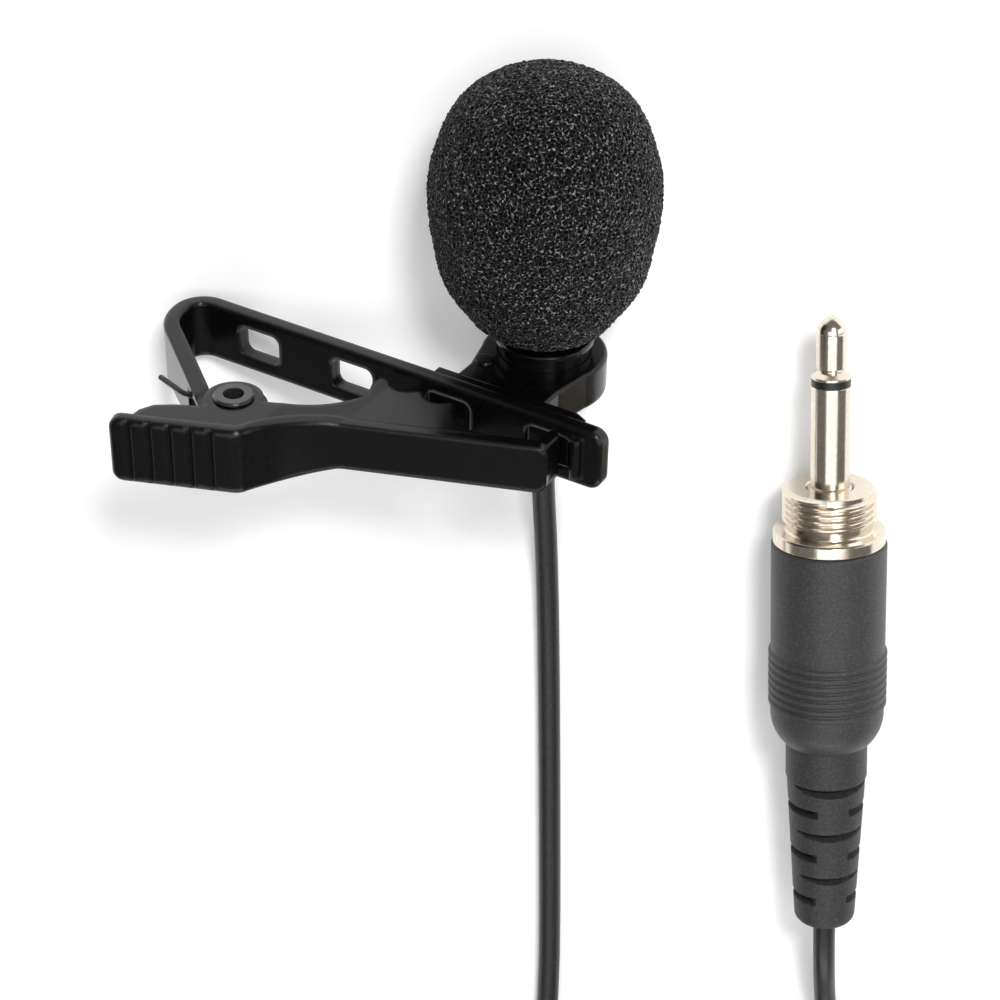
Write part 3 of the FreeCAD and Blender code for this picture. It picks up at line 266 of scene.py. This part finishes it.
def makeSurfaceGrain():
    # fine grain over slow clouds: shifts colour and roughness and gives a height
    group, given, out = newGroup("surfaceGrain", [
        ("Colour", "NodeSocketColor", (0.05, 0.05, 0.05, 1)),
        ("Grain Colour", "NodeSocketColor", (0.08, 0.08, 0.08, 1)),
        ("Grain Scale", "NodeSocketFloat", 4000.0),
        ("Cloud Scale", "NodeSocketFloat", 120.0),
        ("Low Roughness", "NodeSocketFloat", 0.35),
        ("High Roughness", "NodeSocketFloat", 0.5),
    ], [("Colour", "NodeSocketColor"), ("Roughness", "NodeSocketFloat"), ("Height", "NodeSocketFloat")])
    place = addNode(group, "ShaderNodeTexCoord")
    grain = addNode(group, "ShaderNodeTexNoise", Detail=grainPattern["grainDetail"],
                    Roughness=grainPattern["grainRoughness"])
    clouds = addNode(group, "ShaderNodeTexNoise", Detail=grainPattern["cloudDetail"],
                     Roughness=grainPattern["cloudRoughness"])
    for texture, scale in ((grain, "Grain Scale"), (clouds, "Cloud Scale")):
        group.links.new(place.outputs["Object"], texture.inputs["Vector"])
        group.links.new(given.outputs[scale], texture.inputs["Scale"])
    speck = smoothStep(group, grain.outputs["Fac"], *grainPattern["speck"])
    group.links.new(mix(group, "RGBA", speck, given.outputs["Colour"], given.outputs["Grain Colour"]),
                    out.inputs["Colour"])
    group.links.new(mix(group, "FLOAT", clouds.outputs["Fac"], given.outputs["Low Roughness"],
                        given.outputs["High Roughness"]), out.inputs["Roughness"])
    group.links.new(grain.outputs["Fac"], out.inputs["Height"])
    return group


cellPattern = {
    "strand": (0.2, 0.03),  # distances from its middle where a strand fades out and where it is full
    "glint": (0.52, 0.74),  # noise values where glints start and where they are full
    "finer": 1.5,  # how much finer than the cells the noise on the strands is
    "noiseDetail": 2.0,
    "noiseRoughness": 0.6,
}


def makeFoamCells():
    # open cells: thin strands round pores painted dark as shade; a noise makes some strands darker and
    # lower than others; the bright specks on the strands are painted glints
    group, given, out = newGroup("foamCells", [
        ("Pore Shade Colour", "NodeSocketColor", (0.005, 0.005, 0.006, 1)),
        ("Strand Colour", "NodeSocketColor", (0.09, 0.09, 0.095, 1)),
        ("Glint Colour", "NodeSocketColor", (0.4, 0.4, 0.42, 1)),
        ("Cell Scale", "NodeSocketFloat", 2600.0),
    ], [("Colour", "NodeSocketColor"), ("Height", "NodeSocketFloat")])
    place = addNode(group, "ShaderNodeTexCoord")
    cells = addNode(group, "ShaderNodeTexVoronoi", {"feature": "DISTANCE_TO_EDGE"})
    breakup = addNode(group, "ShaderNodeTexNoise", Detail=cellPattern["noiseDetail"],
                      Roughness=cellPattern["noiseRoughness"])
    group.links.new(given.outputs["Cell Scale"], cells.inputs["Scale"])
    group.links.new(multiply(group, given.outputs["Cell Scale"], cellPattern["finer"]),
                    breakup.inputs["Scale"])
    for texture in (cells, breakup):
        group.links.new(place.outputs["Object"], texture.inputs["Vector"])
    strand = smoothStep(group, cells.outputs["Distance"], *cellPattern["strand"])
    glint = smoothStep(group, breakup.outputs["Fac"], *cellPattern["glint"])
    # strands painted lighter than the pores, whose dark is painted shade; the same mask gives the height
    strandHeightAndShade = multiply(group, strand, breakup.outputs["Fac"])
    base = mix(group, "RGBA", strandHeightAndShade, given.outputs["Pore Shade Colour"], given.outputs["Strand Colour"])
    # painted glints: highlight colour put on the strands where the noise is high
    shine = multiply(group, strand, glint)
    group.links.new(mix(group, "RGBA", shine, base, given.outputs["Glint Colour"]), out.inputs["Colour"])
    group.links.new(strandHeightAndShade, out.inputs["Height"])
    return group


surfaceGrain = makeSurfaceGrain()
foamCells = makeFoamCells()
print("shared effects made")


# materials

def startMaterial(name):
    material = bpy.data.materials.new(name)
    material.use_nodes = True
    return material, material.node_tree, material.node_tree.nodes["Principled BSDF"]


def setSockets(surface, values):
    for label, value in values.items():
        surface.inputs[label].default_value = value


def useGroup(tree, group, values):
    node = tree.nodes.new("ShaderNodeGroup")
    node.node_tree = group
    setSockets(node, values)
    return node


# what a finish has where it says nothing else; edges and bumps are in millimetres
commonFinish = {
    "cloudScale": 120.0,
    "metallic": 0.0,
    "coat": 0.0,
    "coatRoughness": 0.1,
    "specular": 0.5,
    "edgeRound": 0.0,
    "edgeSamples": 6,
}


def grainMaterial(name, finish):
    # a solid finish with grain; metal, coat and edge rounding come from the finish
    finish = {**commonFinish, **finish}
    material, tree, surface = startMaterial(name)
    grain = useGroup(tree, surfaceGrain, {
        "Colour": (*finish["colour"], 1),
        "Grain Colour": (*finish["grainColour"], 1),
        "Grain Scale": finish["grainScale"],
        "Cloud Scale": finish["cloudScale"],
        "Low Roughness": finish["roughness"][0],
        "High Roughness": finish["roughness"][1],
    })
    tree.links.new(grain.outputs["Colour"], surface.inputs["Base Color"])
    tree.links.new(grain.outputs["Roughness"], surface.inputs["Roughness"])
    setSockets(surface, {
        "Metallic": finish["metallic"],
        "Coat Weight": finish["coat"],
        "Coat Roughness": finish["coatRoughness"],
        "Specular IOR Level": finish["specular"],
    })
    bump = addNode(tree, "ShaderNodeBump", Strength=finish["bump"], Distance=finish["bumpDepth"] * mm)
    tree.links.new(grain.outputs["Height"], bump.inputs["Height"])
    if finish["edgeRound"]:
        edge = addNode(tree, "ShaderNodeBevel", {"samples": finish["edgeSamples"]},
                       Radius=finish["edgeRound"] * mm)
        tree.links.new(edge.outputs["Normal"], bump.inputs["Normal"])
    tree.links.new(bump.outputs["Normal"], surface.inputs["Normal"])
    return material


finishes = {
    "glossBlack": {"colour": (0.003, 0.003, 0.003), "grainColour": (0.006, 0.006, 0.006),
                   "grainScale": 2500.0, "roughness": (0.1, 0.16), "bump": 0.05, "bumpDepth": 0.02,
                   "edgeRound": 0.12},
    "clipPaint": {"colour": (0.002, 0.002, 0.002), "grainColour": (0.005, 0.005, 0.005),
                  "grainScale": 3200.0, "roughness": (0.17, 0.24), "bump": 0.12, "bumpDepth": 0.02,
                  "specular": 0.35, "edgeRound": 0.55},
    "holderPlastic": {"colour": (0.0015, 0.0015, 0.0015), "grainColour": (0.004, 0.004, 0.004),
                      "grainScale": 2800.0, "roughness": (0.16, 0.24), "bump": 0.15, "bumpDepth": 0.02,
                      "specular": 0.3, "edgeRound": 0.25},
    "eyeletBlack": {"colour": (0.02, 0.02, 0.021), "grainColour": (0.035, 0.035, 0.036),
                    "grainScale": 3000.0, "roughness": (0.2, 0.3), "bump": 0.08, "bumpDepth": 0.02,
                    "coat": 0.4, "edgeRound": 0.15},
    "springSteel": {"colour": (0.05, 0.05, 0.052), "grainColour": (0.12, 0.12, 0.12), "grainScale": 5000.0,
                    "roughness": (0.25, 0.4), "metallic": 0.9, "bump": 0.1, "bumpDepth": 0.01},
    "nickel": {"colour": (0.74, 0.66, 0.55), "grainColour": (0.82, 0.76, 0.66), "grainScale": 2600.0,
               "roughness": (0.14, 0.24), "metallic": 1.0, "bump": 0.04, "bumpDepth": 0.01,
               "edgeRound": 0.08},
    "tipBand": {"colour": (0.01, 0.01, 0.01), "grainColour": (0.02, 0.02, 0.02), "grainScale": 3000.0,
                "roughness": (0.3, 0.4), "bump": 0.1, "bumpDepth": 0.01, "edgeRound": 0.06},
    "barrelBlack": {"colour": (0.03, 0.03, 0.031), "grainColour": (0.062, 0.061, 0.061),
                    "grainScale": 5200.0, "roughness": (0.42, 0.54), "bump": 0.35, "bumpDepth": 0.03,
                    "edgeRound": 0.1},
    "reliefRubber": {"colour": (0.022, 0.022, 0.023), "grainColour": (0.05, 0.049, 0.049),
                     "grainScale": 4600.0, "roughness": (0.48, 0.62), "bump": 0.35, "bumpDepth": 0.03,
                     "edgeRound": 0.2},
    "cordSkin": {"colour": (0.014, 0.014, 0.014), "grainColour": (0.024, 0.024, 0.024),
                 "grainScale": 3600.0, "roughness": (0.34, 0.44), "bump": 0.12, "bumpDepth": 0.02},
    "brushedSteel": {"colour": (0.55, 0.55, 0.56), "grainColour": (0.65, 0.65, 0.66), "grainScale": 4000.0,
                     "roughness": (0.25, 0.38), "metallic": 1.0, "bump": 0.1, "bumpDepth": 0.01,
                     "edgeRound": 0.06},
    "brass": {"colour": (0.72, 0.52, 0.22), "grainColour": (0.8, 0.62, 0.3), "grainScale": 3000.0,
              "roughness": (0.22, 0.34), "metallic": 1.0, "bump": 0.06, "bumpDepth": 0.01},
    "dustCloth": {"colour": (0.03, 0.03, 0.03), "grainColour": (0.09, 0.09, 0.09), "grainScale": 6000.0,
                  "roughness": (0.8, 0.95), "bump": 0.6, "bumpDepth": 0.03},
    "capsuleCan": {"colour": (0.62, 0.62, 0.61), "grainColour": (0.7, 0.7, 0.69), "grainScale": 3500.0,
                   "roughness": (0.28, 0.4), "metallic": 1.0, "bump": 0.08, "bumpDepth": 0.01,
                   "edgeRound": 0.08},
    "boardGreen": {"colour": (0.02, 0.12, 0.05), "grainColour": (0.03, 0.17, 0.07), "grainScale": 2500.0,
                   "roughness": (0.3, 0.42), "bump": 0.1, "bumpDepth": 0.01, "coat": 0.3},
    "potting": {"colour": (0.03, 0.03, 0.032), "grainColour": (0.05, 0.05, 0.05), "grainScale": 1800.0,
                "roughness": (0.3, 0.5), "bump": 0.2, "bumpDepth": 0.03},
}
materials = {name: grainMaterial(name, finish) for name, finish in finishes.items()}

nodeFinish = {
    "mic_housing": "glossBlack", "grille_cap": "brushedSteel", "tail_bushing": "reliefRubber",
    "acoustic_cloth": "dustCloth", "electret_capsule": "capsuleCan", "capsule_board": "boardGreen",
    "potted_carrier": "potting", "mic_holder": "holderPlastic", "front_arm": "clipPaint",
    "rear_jaw": "clipPaint", "pivot_rivet": "eyeletBlack", "plug_insulator": "tipBand",
    "plug_sleeve": "nickel", "plug_core": "tipBand", "barrel_sleeve": "barrelBlack",
    "retaining_ring": "brass", "tip_tag": "brass", "earth_tag": "brass",
    "strain_relief_boot": "reliefRubber", "cord_tie": "tipBand",
}


def dress(piece, material):
    slots = piece.data.materials
    if len(slots) == 0:
        slots.append(material)
    for i in range(len(slots)):
        slots[i] = material


for nodeName, finishName in nodeFinish.items():
    dress(cadNodes[nodeName], materials[finishName])
dress(microphoneCord, materials["cordSkin"])
print("materials made:", len(materials))


# foam windscreen
foamPlan = {
    "mergeGap": 0.002,  # corners nearer than this are one
    "skinSize": 0.16,
    "lean": -0.32,  # off its bore, as it was pushed on by hand
    "fullness": [(25.6, 4.8, 0.42), (9.4, 3.4, 0.34)],  # height, half width, and the swelling there
    "boreRadius": 3.4,
    "boreTop": 14.4,
    "firmDepth": 3.0,
    "axisGap": 0.5,  # nearer its axis than this the skin isn't pushed outwards
    "poreDepth": 0.42,
    "poreSize": 0.3,
    "poreLevel": 0.6,
    # pores painted near black as shade inside the holes
    "poreShadeColour": (0.0008, 0.0008, 0.0008),
    "strandColour": (0.033, 0.032, 0.033),
    # glints are painted highlights on the strands
    "glintColour": (0.42, 0.41, 0.4),
    "cellScale": 2700.0,
    "bump": 0.9,
    "bumpDepth": 0.15,
    "roughness": 0.8,
    "specular": 0.08,
    "sheen": 0.12,
    "sheenRoughness": 0.3,
}


def applyModifier(piece, kind, name, settings):
    modifier = piece.modifiers.new(name, kind)
    for word, value in settings.items():
        setattr(modifier, word, value)
    bpy.context.view_layer.objects.active = piece
    bpy.ops.object.modifier_apply(modifier=name)


def copyOfNode(name, pieceName):
    piece = bpy.data.objects.new(pieceName, cadNodes[name].data.copy())
    bpy.context.collection.objects.link(piece)
    selectOnly(piece)
    bpy.ops.object.mode_set(mode="EDIT")
    bpy.ops.mesh.select_all(action="SELECT")
    bpy.ops.mesh.remove_doubles(threshold=foamPlan["mergeGap"] * mm)
    bpy.ops.object.mode_set(mode="OBJECT")
    return piece


def swellFoam(foam):
    # the skin is fuller and leans a little; round the bore the foam stays as it is
    back = micPlace.inverted()
    for vertex in foam.data.vertices:
        place = back @ vertex.co / mm
        radius = math.hypot(place.x, place.y)
        depth = max(radius - foamPlan["boreRadius"], place.z - foamPlan["boreTop"]) / foamPlan["firmDepth"]
        share = min(max(depth, 0.0), 1.0)
        push = sum(most * max(1 - ((place.z - height) / half) ** 2, 0.0) ** 2
                   for height, half, most in foamPlan["fullness"])
        if radius > foamPlan["axisGap"]:
            place += Vector((place.x, place.y, 0)) / radius * push * share
        place.x += foamPlan["lean"] * share
        vertex.co = micPlace @ (place * mm)


def makeFoamSkin():
    foam = copyOfNode("foam_windscreen", "foamWindscreen")
    applyModifier(foam, "REMESH", "evenSkin", {"mode": "VOXEL", "voxel_size": foamPlan["skinSize"] * mm})
    swellFoam(foam)
    pores = bpy.data.textures.new("foamPores", "CLOUDS")
    pores.noise_scale = foamPlan["poreSize"] * mm
    pores.noise_depth = 1
    applyModifier(foam, "DISPLACE", "openPores", {
        "texture": pores, "texture_coords": "LOCAL", "mid_level": foamPlan["poreLevel"],
        "strength": foamPlan["poreDepth"] * mm})
    for vertex in foam.data.vertices:  # pressed flat where it rests on the table
        vertex.co.z = max(vertex.co.z, 0.0)
    bpy.ops.object.shade_smooth()
    return foam


def makeFoamMaterial():
    material, tree, surface = startMaterial("openCellFoam")
    cells = useGroup(tree, foamCells, {
        "Pore Shade Colour": (*foamPlan["poreShadeColour"], 1),
        "Strand Colour": (*foamPlan["strandColour"], 1),
        "Glint Colour": (*foamPlan["glintColour"], 1),
        "Cell Scale": foamPlan["cellScale"],
    })
    bump = addNode(tree, "ShaderNodeBump", Strength=foamPlan["bump"], Distance=foamPlan["bumpDepth"] * mm)
    tree.links.new(cells.outputs["Colour"], surface.inputs["Base Color"])
    tree.links.new(cells.outputs["Height"], bump.inputs["Height"])
    tree.links.new(bump.outputs["Normal"], surface.inputs["Normal"])
    setSockets(surface, {
        "Roughness": foamPlan["roughness"],
        "Specular IOR Level": foamPlan["specular"],
        "Sheen Weight": foamPlan["sheen"],
        "Sheen Roughness": foamPlan["sheenRoughness"],
    })
    return material


def makeFoam():
    foam = makeFoamSkin()
    dress(foam, makeFoamMaterial())
    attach(foam, "windscreen")
    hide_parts("foam_windscreen")


makeFoam()
print("foam made")


# jaw spring: a hook outside the arm's leg, turns round the rivet, a tail on the jaw's web
springPlan = {
    "wire": 0.5,
    "turnRadius": 1.85,
    "pitch": 0.96,
    "legAngle": 38.5,
    "legOutside": 3.15,
    "hookAlong": 3.8,
    "hookEnd": 7.5,
    "hookLift": 1.4,
    "hookMiddle": 0.45,  # where the hook's third point lies between its bend and its end
    "heel": (3.25, -2.6),
    "tail": (1.6, -4.1),
    "wholeTurns": 2,
    "pointsInTurn": 14,
    "aroundSteps": 2,
    "alongSteps": 4,
}


def makeSpring():
    radius = springPlan["turnRadius"]
    leg = math.radians(springPlan["legAngle"])
    along = Vector((-math.cos(leg), math.sin(leg), 0))
    out = Vector((-math.sin(leg), -math.cos(leg), 0))
    bend = along * springPlan["hookAlong"] + out * springPlan["legOutside"]
    free = along * springPlan["hookEnd"] + out * (springPlan["legOutside"] + springPlan["hookLift"])
    heel, tail = (Vector((*springPlan[word], 0)) for word in ("heel", "tail"))
    first = math.atan2(bend.y, bend.x) % (2 * math.pi) - math.acos(radius / bend.length)
    last = math.atan2(heel.y, heel.x) + math.acos(radius / heel.length)
    sweep = first - last + 2 * math.pi * springPlan["wholeTurns"]
    rise = springPlan["pitch"] * sweep / (2 * math.pi)
    top, low = Vector((0, 0, rise / 2)), Vector((0, 0, -rise / 2))
    count = round(sweep / (2 * math.pi) * springPlan["pointsInTurn"])
    wide = radius / math.cos(sweep / count / 2) ** 0.5
    route = [free + top, bend.lerp(free, springPlan["hookMiddle"]) + top, bend + top]
    for i in range(count + 1):
        angle = first - sweep * i / count
        route.append(Vector((wide * math.cos(angle), wide * math.sin(angle), rise / 2 - rise * i / count)))
    route += [heel + low, (heel + tail) / 2 + low, tail + low]
    points = [clipPlace @ (place * mm) for place in route]
    spring = makeMesh(smoothTube("jawSpring", points, springPlan["wire"] * mm, springPlan))
    dress(spring, materials["springSteel"])
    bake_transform(spring)
    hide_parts("jaw_spring")


makeSpring()
print("spring wound")


# locking collar with its thread, and how finely turned pieces are finished
collarPlan = {
    "bore": 2.05,
    "flangeRadius": 5.05,
    "flangeHeight": 1.25,
    "undercut": 3.85,
    "threadStart": 1.75,
    "threadEnd": 5.25,
    "threadRadius": 4.25,
    "rootRadius": 3.9,
    "pitch": 0.62,
    "footShare": 0.46,  # half the thread's foot and crest, as shares of the pitch
    "crestShare": 0.14,
    "sunk": 0.06,  # the thread's foot lies this deep in the collar
    "stepsInTurn": 72,
    "edge": 0.15,
    "rootLip": 0.1,  # how far before the thread's end its root turns in
    "sides": 96,
}
turning = {"mergeGap": 0.001, "smoothAngle": 25.0}


def turnedPiece(name, rings, sides):
    # a ring of points, extruded, moved and scaled from one radius and height to the next
    bpy.ops.object.select_all(action="DESELECT")
    startRadius, startHeight = rings[0]
    bpy.ops.mesh.primitive_circle_add(vertices=sides, radius=startRadius * mm)
    piece = bpy.context.object
    piece.name = name
    bpy.ops.object.mode_set(mode="EDIT")
    bpy.ops.mesh.select_all(action="SELECT")
    bpy.ops.transform.translate(value=(0, 0, startHeight * mm))
    for (radius, height), (nextRadius, nextHeight) in zip(rings, rings[1:]):
        bpy.ops.mesh.extrude_region_move(
            TRANSFORM_OT_translate={"value": (0, 0, (nextHeight - height) * mm)})
        wider = nextRadius / radius
        bpy.ops.transform.resize(value=(wider, wider, 1), center_override=(0, 0, nextHeight * mm))
    bpy.ops.mesh.select_all(action="SELECT")
    bpy.ops.mesh.remove_doubles(threshold=turning["mergeGap"] * mm)
    bpy.ops.mesh.normals_make_consistent(inside=False)
    bpy.ops.object.mode_set(mode="OBJECT")
    return piece


def closeEnds():
    bpy.ops.object.mode_set(mode="EDIT")
    bpy.ops.mesh.select_mode(type="EDGE")
    bpy.ops.mesh.select_all(action="DESELECT")
    bpy.ops.mesh.select_non_manifold()
    bpy.ops.mesh.fill_holes(sides=0)
    bpy.ops.mesh.select_all(action="SELECT")
    bpy.ops.mesh.normals_make_consistent(inside=False)
    bpy.ops.object.mode_set(mode="OBJECT")


def seatOnPlug(piece, nodeName, body):
    piece.matrix_world = plugPlace
    bpy.ops.object.transform_apply(location=True, rotation=True, scale=True)
    bpy.ops.object.shade_smooth_by_angle(angle=math.radians(turning["smoothAngle"]))
    dress(piece, materials["nickel"])
    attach(piece, body)
    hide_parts(nodeName)
    return piece


def makeThread():
    # a trapezoid section wound upwards with a screw
    pitch = collarPlan["pitch"]
    halfFoot, halfCrest = collarPlan["footShare"] * pitch, collarPlan["crestShare"] * pitch
    inside, crest = collarPlan["rootRadius"] - collarPlan["sunk"], collarPlan["threadRadius"]
    bpy.ops.object.select_all(action="DESELECT")
    bpy.ops.mesh.primitive_circle_add(vertices=4, radius=mm)
    thread = bpy.context.object
    thread.name = "collarThread"
    firstHeight = collarPlan["threadStart"] + halfFoot
    section = [(inside, -halfFoot), (crest, -halfCrest), (crest, halfCrest), (inside, halfFoot)]
    for vertex, (radius, height) in zip(thread.data.vertices, section):
        vertex.co = (radius * mm, 0, (firstHeight + height) * mm)
    turns = (collarPlan["threadEnd"] - collarPlan["threadStart"] - 2 * halfFoot) / pitch
    steps = round(collarPlan["stepsInTurn"] * turns)
    applyModifier(thread, "SCREW", "windUp", {
        "axis": "Z", "angle": turns * 2 * math.pi, "screw_offset": turns * pitch * mm,
        "steps": steps, "render_steps": steps, "iterations": 1})
    closeEnds()
    return thread


def makeCollar():
    bore, edge, sides = (collarPlan[word] for word in ("bore", "edge", "sides"))
    flange, flangeTop = (collarPlan[word] for word in ("flangeRadius", "flangeHeight"))
    undercut, root, start, end = (collarPlan[word] for word in (
        "undercut", "rootRadius", "threadStart", "threadEnd"))
    rings = [
        (bore, 0), (flange - edge, 0), (flange, edge), (flange, flangeTop - edge),
        (flange - edge, flangeTop), (undercut + edge, flangeTop), (undercut, flangeTop + edge),
        (undercut, start), (root, start + edge), (root, end - collarPlan["rootLip"]), (root - edge, end),
        (bore + edge, end), (bore, end - edge), (bore, 0),
    ]
    collar = turnedPiece("lockingCollar", rings, sides)
    selectOnly(makeThread(), collar)
    bpy.ops.object.join()
    return seatOnPlug(collar, "threaded_collar", "locking_sleeve")


# tip contact of the plug: a rod, a grooved waist and a blunt round end
tipPlan = {
    "rodRadius": 0.6,
    "rodEnd": -9.0,
    "footRadius": 1.75,
    "foot": 15.4,
    "footHeight": 0.2,
    "waistRadius": 1.16,
    "waist": 16.15,
    "waistFlat": 0.1,
    "waistRise": 0.22,
    "radius": 1.33,
    "shoulder": 19.5,
    "end": 21.1,
    "shoulderStep": 0.045,
    "endPower": 1.6,  # 1 is an ellipse, more is nearer a cone
    "endAngles": (14, 88),
    "endSteps": 10,
    "sides": 64,
}


def makeTip():
    plan = tipPlan
    radius, shoulder, step = plan["radius"], plan["shoulder"], plan["shoulderStep"]
    rings = [
        (plan["rodRadius"], plan["rodEnd"]), (plan["rodRadius"], plan["foot"]),
        (plan["footRadius"], plan["foot"]), (plan["footRadius"], plan["foot"] + plan["footHeight"]),
        (plan["waistRadius"], plan["waist"] - plan["waistFlat"]), (plan["waistRadius"], plan["waist"]),
        (radius, plan["waist"] + plan["waistRise"]), (radius, shoulder), (radius - step, shoulder + step),
    ]
    first, last = plan["endAngles"]
    for i in range(plan["endSteps"] + 1):
        angle = math.radians(first + (last - first) * i / plan["endSteps"])
        rings.append((radius * math.cos(angle) ** plan["endPower"],
                      shoulder + (plan["end"] - shoulder) * math.sin(angle)))
    tip = turnedPiece("jackTip", rings, plan["sides"])
    closeEnds()
    return seatOnPlug(tip, "plug_tip", "microphone")


declareCord(microphoneCord, [makeCollar(), makeTip()])
print("collar threaded, tip turned, cord declared")


# floor and lights, in metres and watts
studio = {
    "floorSize": 1.6,
    "floorDrop": 0.00002,
    "floorColour": (0.9, 0.9, 0.9),
    "floorRoughness": 0.9,
    "floorSpecular": 0.1,
    "floorGlow": 0.16,
    "worldStrength": 0.17,
    "aim": (5, 0, 5),  # what the lamps face, in millimetres
    "lamps": [
        {"name": "overheadPanel", "place": (0.03, -0.08, 0.52), "size": (0.62, 0.46), "power": 1.4},
        {"name": "keyPanel", "place": (0.14, 0.27, 0.45), "size": (0.12, 0.12), "power": 1.8},
        {"name": "frontPanel", "place": (0.0, -0.50, 0.235), "size": (0.5, 0.08), "power": 0.8},
        {"name": "sidePanel", "place": (0.42, 0.06, 0.16), "size": (0.2, 0.3), "power": 0.5},
    ],
}


def makeFloor():
    bpy.ops.object.select_all(action="DESELECT")
    bpy.ops.mesh.primitive_plane_add(size=studio["floorSize"], location=(0, 0, -studio["floorDrop"]))
    floor = bpy.context.object
    floor.name = "tableTop"
    material, tree, surface = startMaterial("palePaper")
    setSockets(surface, {
        "Base Color": (*studio["floorColour"], 1),
        "Roughness": studio["floorRoughness"],
        "Specular IOR Level": studio["floorSpecular"],
        "Emission Color": (1, 1, 1, 1),
    })
    rays = addNode(tree, "ShaderNodeLightPath")
    seen = rays.outputs["Is Camera Ray"]
    for label in ("Is Glossy Ray", "Is Transmission Ray"):
        either = addNode(tree, "ShaderNodeMath", {"operation": "MAXIMUM"})
        tree.links.new(seen, either.inputs[0])
        tree.links.new(rays.outputs[label], either.inputs[1])
        seen = either.outputs[0]
    glow = multiply(tree, seen, studio["floorGlow"])
    tree.links.new(glow, surface.inputs["Emission Strength"])
    dress(floor, material)


def makeLights():
    target = onTable(*studio["aim"])
    for lamp in studio["lamps"]:
        bpy.ops.object.light_add(type="AREA", location=lamp["place"])
        light = bpy.context.object
        light.name = lamp["name"]
        light.data.shape = "RECTANGLE"
        light.data.size, light.data.size_y = lamp["size"]
        light.data.energy = lamp["power"]
        light.rotation_euler = (light.location - target).to_track_quat("Z", "Y").to_euler()
    world = bpy.data.worlds.new("studioAir")
    bpy.context.scene.world = world
    world.use_nodes = True
    setSockets(world.node_tree.nodes["Background"],
               {"Color": (1, 1, 1, 1), "Strength": studio["worldStrength"]})


makeFloor()
makeLights()
bpy.context.scene.view_settings.view_transform = "Standard"
print("studio lit")

bpy.context.view_layer.update()
